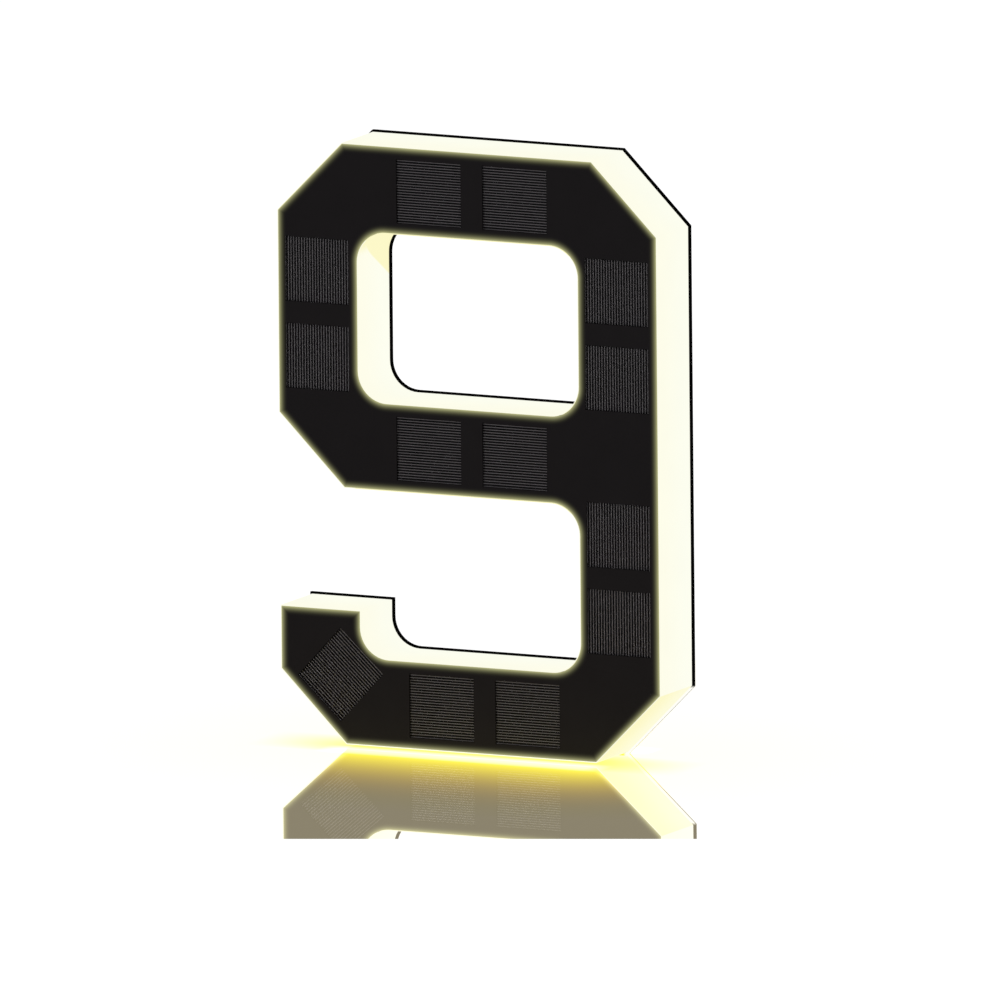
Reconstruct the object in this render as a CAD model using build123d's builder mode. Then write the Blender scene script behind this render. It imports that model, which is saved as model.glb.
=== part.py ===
from build123d import *

import os
from math import sqrt

# Illuminated house number: a figure nine with a solar front and glowing sides.
# Millimetres. It is read from -Y, its back is at +Y and +Z is up. The origin is on
# the ground, under the middle of its width and depth.

# ---- Figure, as the dark front panel shows it -------------------------------------
figure_w = 82.2
figure_h = 118.8
stroke = 17.0
corner_cut = 14.0         # leg of each 45 degree corner
inner_r = 6.3             # round corners of the counter and the bay
counter_h = 34.0          # window in the upper loop
tail_h = 26.3             # top of the tail above the foot of the panel

# ---- Depth, from the front to the back --------------------------------------------
overall_d = 15.1
cover_t = 0.6
solar_board_t = 1.0
floor_t = 1.0             # floor of the light body, behind the solar board
mixing_gap = 4.7          # from the floor to the LED board
led_board_t = 1.0
back_plate_t = 1.2

# ---- Edges and walls --------------------------------------------------------------
rim = 0.2                 # milky edge that shows round the panel
plate_lip = 0.4           # how far the back plate stands out beyond the body
plate_edge = 0.5          # chamfer round the back
side_wall = 2.2
panel_gap = 0.05          # round the cover and the solar board in their rebate
board_gap = 0.3           # round the LED board inside the walls
fit_gap = 0.15            # round the back plate's rib inside the walls

# ---- Solar cells ------------------------------------------------------------------
cell_w = 14.6
cell_h = 13.2
cell_t = 0.2
cell_gap = 0.05           # round each cell in the cover
pair_x = 18.7             # between two cells side by side
pair_z = 17.2             # between two cells one above the other
top_pair_x = 1.2          # middle of each pair
middle_pair_x = 0.8
bottom_pair_x = 3.1
lower_pair_up = 2.6       # above the middle of the bay
tail_cell_in = 12.9       # from the panel's left edge
tail_cell_up = 13.5       # from the panel's foot
tail_cell_turn = 47.0

# ---- Seals ------------------------------------------------------------------------
groove_w = 1.0
groove_d = 0.8
seal_gap = 0.05

# ---- Screws that hold the back plate ----------------------------------------------
boss_r = 2.0
boss_bite = 0.4           # how deep a boss is let into the wall
screw_r = 0.95
screw_l = 6.0
screw_head_r = 1.9
thread_gap = 0.05
screw_gap = 0.15
cross_l = 2.0             # cross recess of a screw head
cross_w = 0.45
cross_d = 0.5

# ---- Posts of the back plate and their screws -------------------------------------
post_r = 1.8
post_hole_d = 3.6
post_clearance = 3.0      # from the tail's inner corner up to its post
rib_t = 1.0
rib_h = 1.2
board_screw_r = 0.75
board_screw_l = 4.0
board_head_r = 1.4
board_head_h = 0.9

# ---- Keyholes that hang the sign on two screw heads -------------------------------
key_spread = 36.0
key_entry_r = 3.25
key_slot_w = 3.4
key_travel = 4.0
key_head_r = 3.35
key_head_d = 2.9
key_wall = 0.8

# ---- Push switch and its button ---------------------------------------------------
button_r = 3.7
button_gap = 0.3          # round the button in the back plate
button_recess = 0.3
button_round = 0.4
button_travel = 1.0
flange_r = 4.8
flange_t = 0.8
flange_gap = 0.1          # between the flange and the back plate
switch_w = 6.0
switch_h = 3.0
plunger_r = 1.5
plunger_gap = 0.1
plunger_floor = 0.6
plunger_spare = 0.2       # left under the pressed plunger

# ---- LEDs -------------------------------------------------------------------------
long_row_count = 4        # along each level bar
short_row_count = 2       # along each upright bar
led_w = 3.5
led_h = 2.8
led_t = 0.7
lens_r = 1.1
lens_t = 0.1

# ---- Battery and its connector ----------------------------------------------------
battery_l = 30.0
battery_w = 10.0
battery_t = 4.0
battery_edge = 1.2
battery_x = -4.0
tape_t = 0.5
tape_in = 1.0             # from the battery's edge to the tape's
connector_l = 5.0
connector_w = 6.0
connector_t = 3.5
connector_wall = 0.8
wire_r = 0.5
wire_pitch = 2.6
wire_bend = 1.5
battery_lead = 7.5
lead_straight = 2.2

# ---- Panel leads ------------------------------------------------------------------
panel_lead_step = 4.0     # sideways step between the two boards
panel_lead_straight = 2.0
lead_gap = 0.3            # round the leads in the floor of the body

# ---- Charging circuit -------------------------------------------------------------
circuit_shift = 2.0       # from the bar's middle towards the counter
chip_w = 4.0
chip_l = 5.0
chip_t = 1.5
chip_lift = 0.1
pin_pitch = 1.27
pins_a_side = 4
pin_w = 0.4
pin_l = 1.0
pin_t = 0.3
chip_from_counter = 9.0   # above the middle of the counter
coil_w = 4.0
coil_t = 2.0
coil_cut = 0.8
coil_r = 1.5
coil_lens_t = 0.2
coil_from_counter = -8.6
can_r = 2.0
can_h = 4.0
can_base_w = 4.2
can_base_t = 0.5
can_from_counter = -14.2
resistor_l = 2.0
resistor_w = 1.2
resistor_t = 0.5
resistor_pitch = 2.0
resistor_count = 3
resistor_from_counter = -19.8

# ---- Heights and bar centres ------------------------------------------------------
panel_z = rim + plate_lip
panel_top = panel_z + figure_h
counter_top = panel_top - stroke
counter_low = counter_top - counter_h
counter_z = (counter_top + counter_low) / 2
counter_w = figure_w - 2 * stroke
bay_top = counter_low - stroke
bay_low = panel_z + stroke
bay_z = (bay_top + bay_low) / 2
tail_top = panel_z + tail_h
right_bar_x = (figure_w - stroke) / 2
circuit_x = right_bar_x - circuit_shift
left_bar_x = -right_bar_x
top_bar_z = panel_top - stroke / 2
middle_bar_z = counter_low - stroke / 2
bottom_bar_z = panel_z + stroke / 2

# ---- Depths -----------------------------------------------------------------------
front_y = -overall_d / 2
back_y = overall_d / 2
solar_front_y = front_y + cover_t
solar_back_y = solar_front_y + solar_board_t
floor_y = solar_back_y + floor_t
board_front_y = floor_y + mixing_gap
board_back_y = board_front_y + led_board_t
plate_y = back_y - back_plate_t

# ---- Spots of what repeats, as x and z --------------------------------------------
cavity = rim - side_wall
wall_middle = rim - side_wall / 2
boss_in = boss_r - boss_bite
corner_in = (corner_cut + (2 - sqrt(2)) * cavity) / 2 + boss_in / sqrt(2)
wall_boss_x = figure_w / 2 + cavity - boss_in
corner_boss_x = figure_w / 2 + cavity - corner_in
corner_boss_low = panel_z - cavity + corner_in
boss_spots = [
    (corner_boss_x, corner_boss_low),
    (-corner_boss_x, corner_boss_low),
    (-corner_boss_x, bay_top - cavity + corner_in),
    (corner_boss_x, panel_top + cavity - corner_in),
    (-corner_boss_x, panel_top + cavity - corner_in),
    (0, panel_top + cavity - boss_in),
    (0, panel_z - cavity + boss_in),
    (-wall_boss_x, counter_z),
    (wall_boss_x, counter_low),
    (wall_boss_x, bay_z),
]
tail_post_z = bay_low + post_clearance
post_spots = [
    (0, top_bar_z),
    (left_bar_x, counter_z),
    (right_bar_x, counter_top),
    (right_bar_x, middle_bar_z),
    (right_bar_x, bay_z),
    (0, bottom_bar_z),
    (left_bar_x, tail_post_z),
]
cell_spots = {
    "top_left": (top_pair_x - pair_x / 2, top_bar_z, 0),
    "top_right": (top_pair_x + pair_x / 2, top_bar_z, 0),
    "upper_left_high": (left_bar_x, counter_z + pair_z / 2, 0),
    "upper_left_low": (left_bar_x, counter_z - pair_z / 2, 0),
    "upper_right_high": (right_bar_x, counter_z + pair_z / 2, 0),
    "upper_right_low": (right_bar_x, counter_z - pair_z / 2, 0),
    "middle_left": (middle_pair_x - pair_x / 2, middle_bar_z, 0),
    "middle_right": (middle_pair_x + pair_x / 2, middle_bar_z, 0),
    "lower_right_high": (right_bar_x, bay_z + lower_pair_up + pair_z / 2, 0),
    "lower_right_low": (right_bar_x, bay_z + lower_pair_up - pair_z / 2, 0),
    "bottom_left": (bottom_pair_x - pair_x / 2, bottom_bar_z, 0),
    "bottom_right": (bottom_pair_x + pair_x / 2, bottom_bar_z, 0),
    "tail": (tail_cell_in - figure_w / 2, panel_z + tail_cell_up, tail_cell_turn),
}
long_row = [counter_w * (step / (long_row_count - 1) - 1 / 2) for step in range(long_row_count)]
short_row = [counter_h * ((step + 1 / 2) / short_row_count - 1 / 2) for step in range(short_row_count)]
led_rows = {
    "top": [(x, top_bar_z) for x in long_row],
    "upper_left": [(left_bar_x, counter_z + z) for z in short_row],
    "upper_right": [(right_bar_x, counter_z + z) for z in short_row],
    "middle": [(x, middle_bar_z) for x in long_row],
    "lower_right": [(right_bar_x, bay_z + z) for z in short_row],
    "bottom": [(x, bottom_bar_z) for x in long_row],
    "tail": [(left_bar_x, (corner_boss_low + tail_post_z) / 2)],
}
key_spots = [(-key_spread / 2, top_bar_z), (key_spread / 2, top_bar_z)]

TOP = (Align.CENTER, Align.CENTER, Align.MIN)
BELOW = (Align.CENTER, Align.CENTER, Align.MAX)


def facing(y):
    """Plane at depth y that faces the front. Its x is X and its y is Z."""
    return Plane.XZ.offset(-y)


def behind(y):
    """Plane at depth y that faces the back. Its x is X and its y is -Z."""
    return Plane(origin=(0, y, 0), x_dir=(1, 0, 0), z_dir=(0, 1, 0))


def seen_from_behind(spots):
    """The same spots on a plane that faces the back."""
    return [(x, -z) for x, z in spots]


def outside(grow):
    """The figure's outer edge, with each side moved outwards by grow."""
    left = -figure_w / 2 - grow
    right = figure_w / 2 + grow
    low = panel_z - grow
    high = panel_top + grow
    cut = corner_cut + (2 - sqrt(2)) * grow
    bay_left = stroke - figure_w / 2 + grow
    bay_right = figure_w / 2 - stroke - grow
    bay_height = bay_top - bay_low - 2 * grow
    bay_x = (bay_left + bay_right) / 2
    open_x = left - stroke
    with BuildSketch(mode=Mode.PRIVATE) as shape:
        with BuildLine():
            Polyline(
                (left + cut, low),
                (right - cut, low),
                (right, low + cut),
                (right, high - cut),
                (right - cut, high),
                (left + cut, high),
                (left, high - cut),
                (left, low + cut),
                close=True,
            )
        make_face()
        with Locations((bay_x, bay_z)):
            RectangleRounded(bay_right - bay_left, bay_height, inner_r - grow, mode=Mode.SUBTRACT)
        with BuildLine():
            Polyline(
                (bay_x, tail_top + grow),
                (open_x, tail_top + grow),
                (open_x, bay_top - grow + left + cut - open_x),
                (left + cut, bay_top - grow),
                (bay_x, bay_top - grow),
                close=True,
            )
        make_face(mode=Mode.SUBTRACT)
    return shape.sketch


def counter(grow):
    """The window in the upper loop, made smaller by grow on each side."""
    with BuildSketch(mode=Mode.PRIVATE) as shape:
        with Locations((0, counter_z)):
            RectangleRounded(counter_w - 2 * grow, counter_h - 2 * grow, inner_r - grow)
    return shape.sketch


def figure(grow):
    """The whole figure, with each edge moved outwards by grow."""
    with BuildSketch(mode=Mode.PRIVATE) as shape:
        add(outside(grow))
        add(counter(grow), mode=Mode.SUBTRACT)
    return shape.sketch


os.makedirs("parts", exist_ok=True)

# ---- Light body: milky tray, a rebate for the panel, bosses and seal grooves -------
with BuildPart() as light_body:
    with BuildSketch(facing(plate_y)):
        add(figure(rim))
    extrude(amount=plate_y - front_y)
    with BuildSketch(facing(plate_y)):
        add(figure(cavity))
        with Locations(*boss_spots):
            Circle(boss_r, mode=Mode.SUBTRACT)
    extrude(amount=plate_y - floor_y, mode=Mode.SUBTRACT)
    with BuildSketch(facing(solar_back_y)):
        add(figure(panel_gap))
    extrude(amount=solar_back_y - front_y, mode=Mode.SUBTRACT)
    with BuildSketch(facing(floor_y)):
        with Locations((-panel_lead_step / 2, middle_bar_z)):
            SlotCenterToCenter(wire_pitch, 2 * (wire_r + lead_gap), rotation=90)
    extrude(amount=floor_t, mode=Mode.SUBTRACT)
    with Locations(behind(plate_y)):
        with Locations(*seen_from_behind(boss_spots)):
            Hole(screw_r + thread_gap, depth=screw_l)
    with BuildSketch(facing(plate_y)):
        add(figure(wall_middle + groove_w / 2))
        add(figure(wall_middle - groove_w / 2), mode=Mode.SUBTRACT)
    extrude(amount=groove_d, mode=Mode.SUBTRACT)
light_body.part.label = "light_body"
export_step(light_body.part, "parts/light_body.step")

# ---- Seals, pressed into the grooves by the back plate ----------------------------
seal_half = groove_w / 2 - seal_gap
with BuildPart() as seal_outer:
    with BuildSketch(facing(plate_y)):
        add(outside(wall_middle + seal_half))
        add(outside(wall_middle - seal_half), mode=Mode.SUBTRACT)
    extrude(amount=groove_d)
seal_outer.part.label = "seal_outer"
export_step(seal_outer.part, "parts/seal_outer.step")

with BuildPart() as seal_counter:
    with BuildSketch(facing(plate_y)):
        add(counter(wall_middle - seal_half))
        add(counter(wall_middle + seal_half), mode=Mode.SUBTRACT)
    extrude(amount=groove_d)
seal_counter.part.label = "seal_counter"
export_step(seal_counter.part, "parts/seal_counter.step")

# ---- Solar board and the cells on its front ---------------------------------------
with BuildPart() as solar_board:
    with BuildSketch(facing(solar_back_y)):
        add(figure(0))
    extrude(amount=solar_board_t)
solar_board.part.label = "solar_board"
export_step(solar_board.part, "parts/solar_board.step")

for name, (x, z, turn) in cell_spots.items():
    with BuildPart() as solar_cell:
        with BuildSketch(facing(solar_front_y)):
            with Locations((x, z)):
                Rectangle(cell_w, cell_h, rotation=turn)
        extrude(amount=cell_t)
    solar_cell.part.label = f"solar_cell_{name}"
    export_step(solar_cell.part, f"parts/solar_cell_{name}.step")

# ---- Clear front cover with a shallow pocket over each cell -----------------------
with BuildPart() as front_cover:
    with BuildSketch(facing(solar_front_y)):
        add(figure(0))
    extrude(amount=cover_t)
    with BuildSketch(facing(solar_front_y)):
        for x, z, turn in cell_spots.values():
            with Locations((x, z)):
                Rectangle(cell_w + 2 * cell_gap, cell_h + 2 * cell_gap, rotation=turn)
    extrude(amount=cell_t + cell_gap, mode=Mode.SUBTRACT)
front_cover.part.label = "front_cover"
export_step(front_cover.part, "parts/front_cover.step")

# ---- Back plate: rib, posts, keyhole pockets and holes ----------------------------
rib_edge = cavity - fit_gap
with BuildPart() as back_plate:
    with BuildSketch(facing(back_y)):
        add(figure(rim + plate_lip))
    extrude(amount=back_plate_t)
    chamfer(back_plate.faces().sort_by(Axis.Y)[-1].edges(), plate_edge)
    with BuildSketch(facing(plate_y)):
        add(figure(rib_edge))
        add(figure(rib_edge - rib_t), mode=Mode.SUBTRACT)
        with Locations(*boss_spots):
            Circle(boss_r + fit_gap, mode=Mode.SUBTRACT)
    extrude(amount=rib_h)
    with BuildSketch(facing(plate_y)):
        with Locations(*post_spots):
            Circle(post_r)
    extrude(amount=plate_y - board_back_y)
    with Locations(facing(board_back_y)):
        with Locations(*post_spots):
            Hole(board_screw_r + thread_gap, depth=post_hole_d)
    with BuildSketch(facing(plate_y)):
        with Locations(*key_spots):
            SlotCenterToCenter(key_travel, 2 * (key_head_r + key_wall), rotation=90)
    extrude(amount=key_head_d + key_wall)
    with BuildSketch(facing(plate_y)):
        with Locations(*key_spots):
            SlotCenterToCenter(key_travel, 2 * key_head_r, rotation=90)
    extrude(amount=key_head_d, mode=Mode.SUBTRACT)
    with BuildSketch(facing(back_y)):
        with Locations(*key_spots):
            SlotCenterToCenter(key_travel, key_slot_w, rotation=90)
        with Locations(*[(x, z - key_travel / 2) for x, z in key_spots]):
            Circle(key_entry_r)
        with Locations((right_bar_x, counter_z)):
            Circle(button_r + button_gap)
    extrude(amount=back_plate_t, mode=Mode.SUBTRACT)
    with Locations(behind(back_y)):
        with Locations(*seen_from_behind(boss_spots)):
            CounterSinkHole(
                screw_r + screw_gap,
                screw_head_r + thread_gap,
                depth=back_plate_t,
                counter_sink_angle=90,
            )
back_plate.part.label = "back_plate"
export_step(back_plate.part, "parts/back_plate.step")

# ---- Ten countersunk screws with a cross recess -----------------------------------
with BuildPart() as cover_screws:
    with Locations(behind(back_y)):
        with Locations(*seen_from_behind(boss_spots)):
            Cone(screw_r, screw_head_r, screw_head_r - screw_r, align=BELOW)
            Cylinder(screw_r, screw_l, align=BELOW)
            Box(cross_l, cross_w, cross_d, align=BELOW, mode=Mode.SUBTRACT)
            Box(cross_w, cross_l, cross_d, align=BELOW, mode=Mode.SUBTRACT)
cover_screws.part.label = "cover_screws"
export_step(cover_screws.part, "parts/cover_screws.step")

# ---- LED board, notched round the bosses ------------------------------------------
with BuildPart() as led_board:
    with BuildSketch(facing(board_back_y)):
        add(figure(cavity - board_gap))
        with Locations(*boss_spots):
            Circle(boss_r + board_gap, mode=Mode.SUBTRACT)
        with Locations(*post_spots):
            Circle(board_screw_r + screw_gap, mode=Mode.SUBTRACT)
    extrude(amount=led_board_t)
led_board.part.label = "led_board"
export_step(led_board.part, "parts/led_board.step")

with BuildPart() as board_screws:
    with Locations(facing(board_front_y)):
        with Locations(*post_spots):
            Cylinder(board_head_r, board_head_h, align=TOP)
            Cylinder(board_screw_r, board_screw_l, align=BELOW)
            with Locations((0, 0, board_head_h)):
                Box(cross_l, cross_w, cross_d, align=BELOW, mode=Mode.SUBTRACT)
                Box(cross_w, cross_l, cross_d, align=BELOW, mode=Mode.SUBTRACT)
board_screws.part.label = "board_screws"
export_step(board_screws.part, "parts/board_screws.step")

for row, spots in led_rows.items():
    for count, spot in enumerate(spots, 1):
        with BuildPart() as led:
            with BuildSketch(facing(board_front_y)):
                with Locations(spot):
                    Rectangle(led_w, led_h)
            extrude(amount=led_t)
            with BuildSketch(facing(board_front_y - led_t)):
                with Locations(spot):
                    Circle(lens_r)
            extrude(amount=lens_t)
        led.part.label = f"led_{row}_{count}"
        export_step(led.part, f"parts/led_{row}_{count}.step")

# ---- Battery on its foam tape, with its connector and leads -----------------------
tape_y = board_back_y + tape_t
with BuildPart() as battery_tape:
    with BuildSketch(facing(tape_y)):
        with Locations((battery_x, middle_bar_z)):
            Rectangle(battery_l - 2 * tape_in, battery_w - 2 * tape_in)
    extrude(amount=tape_t)
battery_tape.part.label = "battery_tape"
export_step(battery_tape.part, "parts/battery_tape.step")

with BuildPart() as battery:
    with BuildSketch(facing(tape_y + battery_t)):
        with Locations((battery_x, middle_bar_z)):
            Rectangle(battery_l, battery_w)
    extrude(amount=battery_t)
    fillet(battery.edges().filter_by(Axis.X), battery_edge)
battery.part.label = "battery"
export_step(battery.part, "parts/battery.step")

battery_end_x = battery_x + battery_l / 2
connector_x = battery_end_x + battery_lead
with BuildPart() as battery_connector:
    with BuildSketch(facing(board_back_y + connector_t)):
        with Locations((connector_x + connector_l / 2, middle_bar_z)):
            Rectangle(connector_l, connector_w)
    extrude(amount=connector_t)
    with BuildSketch(facing(board_back_y + connector_t)):
        with Locations((connector_x + connector_l - connector_wall, middle_bar_z)):
            Rectangle(connector_wall, connector_w - 2 * connector_wall)
    extrude(amount=connector_t - connector_wall, mode=Mode.SUBTRACT)
battery_connector.part.label = "battery_connector"
export_step(battery_connector.part, "parts/battery_connector.step")

battery_middle_y = tape_y + battery_t / 2
connector_middle_y = board_back_y + connector_t / 2
for colour, side in (("red", 1), ("black", -1)):
    lead_z = middle_bar_z + side * wire_pitch / 2
    with BuildPart() as battery_wire:
        with BuildLine():
            lead = FilletPolyline(
                (battery_end_x, battery_middle_y, lead_z),
                (battery_end_x + lead_straight, battery_middle_y, lead_z),
                (connector_x - lead_straight, connector_middle_y, lead_z),
                (connector_x, connector_middle_y, lead_z),
                radius=wire_bend,
            )
        with BuildSketch(Plane(origin=lead @ 0, z_dir=lead % 0)):
            Circle(wire_r)
        sweep()
    battery_wire.part.label = f"battery_wire_{colour}"
    export_step(battery_wire.part, f"parts/battery_wire_{colour}.step")

    with BuildPart() as panel_wire:
        with BuildLine():
            lead = FilletPolyline(
                (-panel_lead_step / 2, solar_back_y, lead_z),
                (-panel_lead_step / 2, solar_back_y + panel_lead_straight, lead_z),
                (panel_lead_step / 2, board_front_y - panel_lead_straight, lead_z),
                (panel_lead_step / 2, board_front_y, lead_z),
                radius=wire_bend,
            )
        with BuildSketch(Plane(origin=lead @ 0, z_dir=lead % 0)):
            Circle(wire_r)
        sweep()
    panel_wire.part.label = f"panel_wire_{colour}"
    export_step(panel_wire.part, f"parts/panel_wire_{colour}.step")

# ---- Charging circuit on the back of the LED board --------------------------------
chip_z = counter_z + chip_from_counter
with BuildPart() as charge_controller:
    with BuildSketch(facing(board_back_y + chip_lift + chip_t)):
        with Locations((circuit_x, chip_z)):
            Rectangle(chip_w, chip_l)
    extrude(amount=chip_t)
    with BuildSketch(facing(board_back_y + pin_t)):
        with Locations((circuit_x, chip_z)):
            with GridLocations(chip_w + pin_l, pin_pitch, 2, pins_a_side):
                Rectangle(2 * pin_l, pin_w)
    extrude(amount=pin_t)
charge_controller.part.label = "charge_controller"
export_step(charge_controller.part, "parts/charge_controller.step")

coil_z = counter_z + coil_from_counter
with BuildPart() as boost_inductor:
    with BuildSketch(facing(board_back_y + coil_t)):
        with Locations((circuit_x, coil_z)):
            block = Rectangle(coil_w, coil_w)
        chamfer(block.vertices(), coil_cut)
    extrude(amount=coil_t)
    with BuildSketch(facing(board_back_y + coil_t + coil_lens_t)):
        with Locations((circuit_x, coil_z)):
            Circle(coil_r)
    extrude(amount=coil_lens_t)
boost_inductor.part.label = "boost_inductor"
export_step(boost_inductor.part, "parts/boost_inductor.step")

can_z = counter_z + can_from_counter
with BuildPart() as storage_capacitor:
    with BuildSketch(facing(board_back_y + can_base_t)):
        with Locations((circuit_x, can_z)):
            Rectangle(can_base_w, can_base_w)
    extrude(amount=can_base_t)
    with BuildSketch(facing(board_back_y + can_h)):
        with Locations((circuit_x, can_z)):
            Circle(can_r)
    extrude(amount=can_h)
storage_capacitor.part.label = "storage_capacitor"
export_step(storage_capacitor.part, "parts/storage_capacitor.step")

with BuildPart() as sense_resistors:
    with BuildSketch(facing(board_back_y + resistor_t)):
        with Locations((circuit_x, counter_z + resistor_from_counter)):
            with GridLocations(resistor_pitch, 0, resistor_count, 1):
                Rectangle(resistor_w, resistor_l)
    extrude(amount=resistor_t)
sense_resistors.part.label = "sense_resistors"
export_step(sense_resistors.part, "parts/sense_resistors.step")

# ---- Push switch, its plunger and the button in the back plate --------------------
switch_y = board_back_y + switch_h
plunger_end_y = plate_y - flange_gap - flange_t
plunger_start_y = board_back_y + plunger_floor + plunger_spare + button_travel
with BuildPart() as switch_body:
    with BuildSketch(facing(switch_y)):
        with Locations((right_bar_x, counter_z)):
            Rectangle(switch_w, switch_w)
    extrude(amount=switch_h)
    with Locations(behind(switch_y)):
        with Locations((right_bar_x, -counter_z)):
            Hole(plunger_r + plunger_gap, depth=switch_h - plunger_floor)
switch_body.part.label = "switch_body"
export_step(switch_body.part, "parts/switch_body.step")

with BuildPart() as switch_plunger:
    with BuildSketch(facing(plunger_end_y)):
        with Locations((right_bar_x, counter_z)):
            Circle(plunger_r)
    extrude(amount=plunger_end_y - plunger_start_y)
switch_plunger.part.label = "switch_plunger"
export_step(switch_plunger.part, "parts/switch_plunger.step")

button_top_y = back_y - button_recess
with BuildPart() as power_button:
    with BuildSketch(facing(plunger_end_y + flange_t)):
        with Locations((right_bar_x, counter_z)):
            Circle(flange_r)
    extrude(amount=flange_t)
    with BuildSketch(facing(button_top_y)):
        with Locations((right_bar_x, counter_z)):
            Circle(button_r)
    extrude(amount=button_top_y - plunger_end_y)
    fillet(power_button.edges().sort_by(Axis.Y)[-1], button_round)
power_button.part.label = "power_button"
export_step(power_button.part, "parts/power_button.step")
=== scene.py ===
"""Illuminated house number: the looks of a figure nine with a solar front and glowing sides.

Metres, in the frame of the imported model: it is read from -Y, its back is at +Y and +Z is up.
Each operator dresses one piece or one group of like pieces. The two pieces that are new here, the
printed cover and the cells' fine lines, are surfaces worked out with numpy.
"""

import bmesh
import bpy
import numpy as np
from mathutils import Matrix, Vector
from mathutils.geometry import delaunay_2d_cdt


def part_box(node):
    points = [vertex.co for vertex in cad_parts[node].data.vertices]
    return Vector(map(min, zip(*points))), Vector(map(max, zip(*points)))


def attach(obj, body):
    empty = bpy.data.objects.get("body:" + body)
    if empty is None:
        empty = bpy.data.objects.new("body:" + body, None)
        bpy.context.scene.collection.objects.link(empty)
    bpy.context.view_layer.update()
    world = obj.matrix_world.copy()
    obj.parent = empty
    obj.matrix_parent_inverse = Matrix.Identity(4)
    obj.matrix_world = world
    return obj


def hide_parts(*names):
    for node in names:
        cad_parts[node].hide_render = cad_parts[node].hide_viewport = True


bl_info = {
    "name": "House number light",
    "version": (1, 0, 0),
    "blender": (4, 5, 0),
    "location": "View3D > Sidebar > House number",
    "description": "Dresses the packed house number light and sets its studio",
    "category": "Object",
}

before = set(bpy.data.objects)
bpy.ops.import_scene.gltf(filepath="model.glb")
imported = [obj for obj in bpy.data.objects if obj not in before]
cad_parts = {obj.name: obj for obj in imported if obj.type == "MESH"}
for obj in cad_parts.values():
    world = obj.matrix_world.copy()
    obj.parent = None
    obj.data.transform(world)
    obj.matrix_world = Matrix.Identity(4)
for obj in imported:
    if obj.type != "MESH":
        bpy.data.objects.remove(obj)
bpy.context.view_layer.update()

MM = 0.001
PANEL_LOW, PANEL_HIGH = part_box("solar_board")
BODY_LOW, BODY_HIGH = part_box("light_body")
PANEL_FRONT_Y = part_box("front_cover")[0].y
LED_BOARD_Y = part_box("led_board")[0].y

# The solar cells, by how their lines lie.
LEVEL_CELLS = (
    "top_left",
    "top_right",
    "middle_left",
    "middle_right",
    "bottom_left",
    "bottom_right",
)
UPRIGHT_CELLS = (
    "upper_left_high",
    "upper_left_low",
    "upper_right_high",
    "upper_right_low",
    "lower_right_high",
    "lower_right_low",
)
TAIL_CELL = "tail"
CELLS = (*LEVEL_CELLS, *UPRIGHT_CELLS, TAIL_CELL)

# The studio's lamps: the side of each square lamp and where it stands.
LAMP_SIDE = 0.5
LAMP_SPOTS = {"key": (-0.32, -0.55, 0.42), "fill": (0.6, -0.25, 0.3), "rear": (0.1, 0.6, 0.42)}


def display(red, green, blue):
    """The linear colour of three display numbers from 0 to 255."""
    shares = np.array([red, green, blue]) / 255
    linear = np.where(shares > 0.04045, ((shares + 0.055) / 1.055) ** 2.4, shares / 12.92)
    return tuple(float(share) for share in linear)


# ---- Sizes and colours ------------------------------------------------------------


def length(name, description, millimetres):
    """A length property that is shown in the scene's unit."""
    return bpy.props.FloatProperty(
        name=name,
        description=description,
        default=millimetres * MM,
        min=0.0,
        precision=5,
        subtype="DISTANCE",
        unit="LENGTH",
    )


def colour(name, description, default):
    """A colour property, in linear light."""
    return bpy.props.FloatVectorProperty(
        name=name,
        description=description,
        default=default,
        min=0.0,
        max=1.0,
        size=3,
        subtype="COLOR",
    )


def angle(name, description, degrees):
    """An angle property, in radians."""
    return bpy.props.FloatProperty(
        name=name,
        description=description,
        default=float(np.radians(degrees)),
        subtype="ANGLE",
        unit="ROTATION",
    )


def share(name, description, default):
    """A number from 0 to 1."""
    return bpy.props.FloatProperty(
        name=name, description=description, default=default, min=0.0, max=1.0, subtype="FACTOR"
    )


def number(name, description, default):
    """A plain number from 0 up."""
    return bpy.props.FloatProperty(name=name, description=description, default=default, min=0.0)


def power(name, description, watts):
    """A lamp's power."""
    return bpy.props.FloatProperty(
        name=name, description=description, default=watts, min=0.0, unit="POWER"
    )


class FigureSizes(bpy.types.PropertyGroup):
    """Outline of the dark panel, which the glow along its edges and on the sides follows."""

    stroke: length("Stroke", "Width of the figure's bars", 17.0)
    corner_cut: length("Corner cut", "Leg of each 45 degree corner", 14.0)
    inner_r: length("Inner corner", "Radius of the corners of the window and the bay", 6.3)
    counter_h: length("Window height", "Height of the window in the upper loop", 34.0)
    tail_h: length("Tail height", "Top of the tail above the foot of the panel", 26.3)
    glow_reach: length("Glow reach", "How far the light spreads over the panel's edge", 2.05)
    cover_gap: length("Cover gap", "Air between the cover and the board under it", 0.02)
    pane_depth: length("Pane", "Thickness of the clear cover over a cell", 0.34)
    # painted shade: the warmer patch under the top of an opening
    ceiling_drop: length("Patch", "Height of the warmer patch under a ceiling, at the front", 1.85)
    ceiling_soft: length("Patch edge", "Half the width of the patch's soft edge", 0.25)
    ceiling_fall: share("Patch fall", "How steeply the patch grows towards the back", 0.63)


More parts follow.
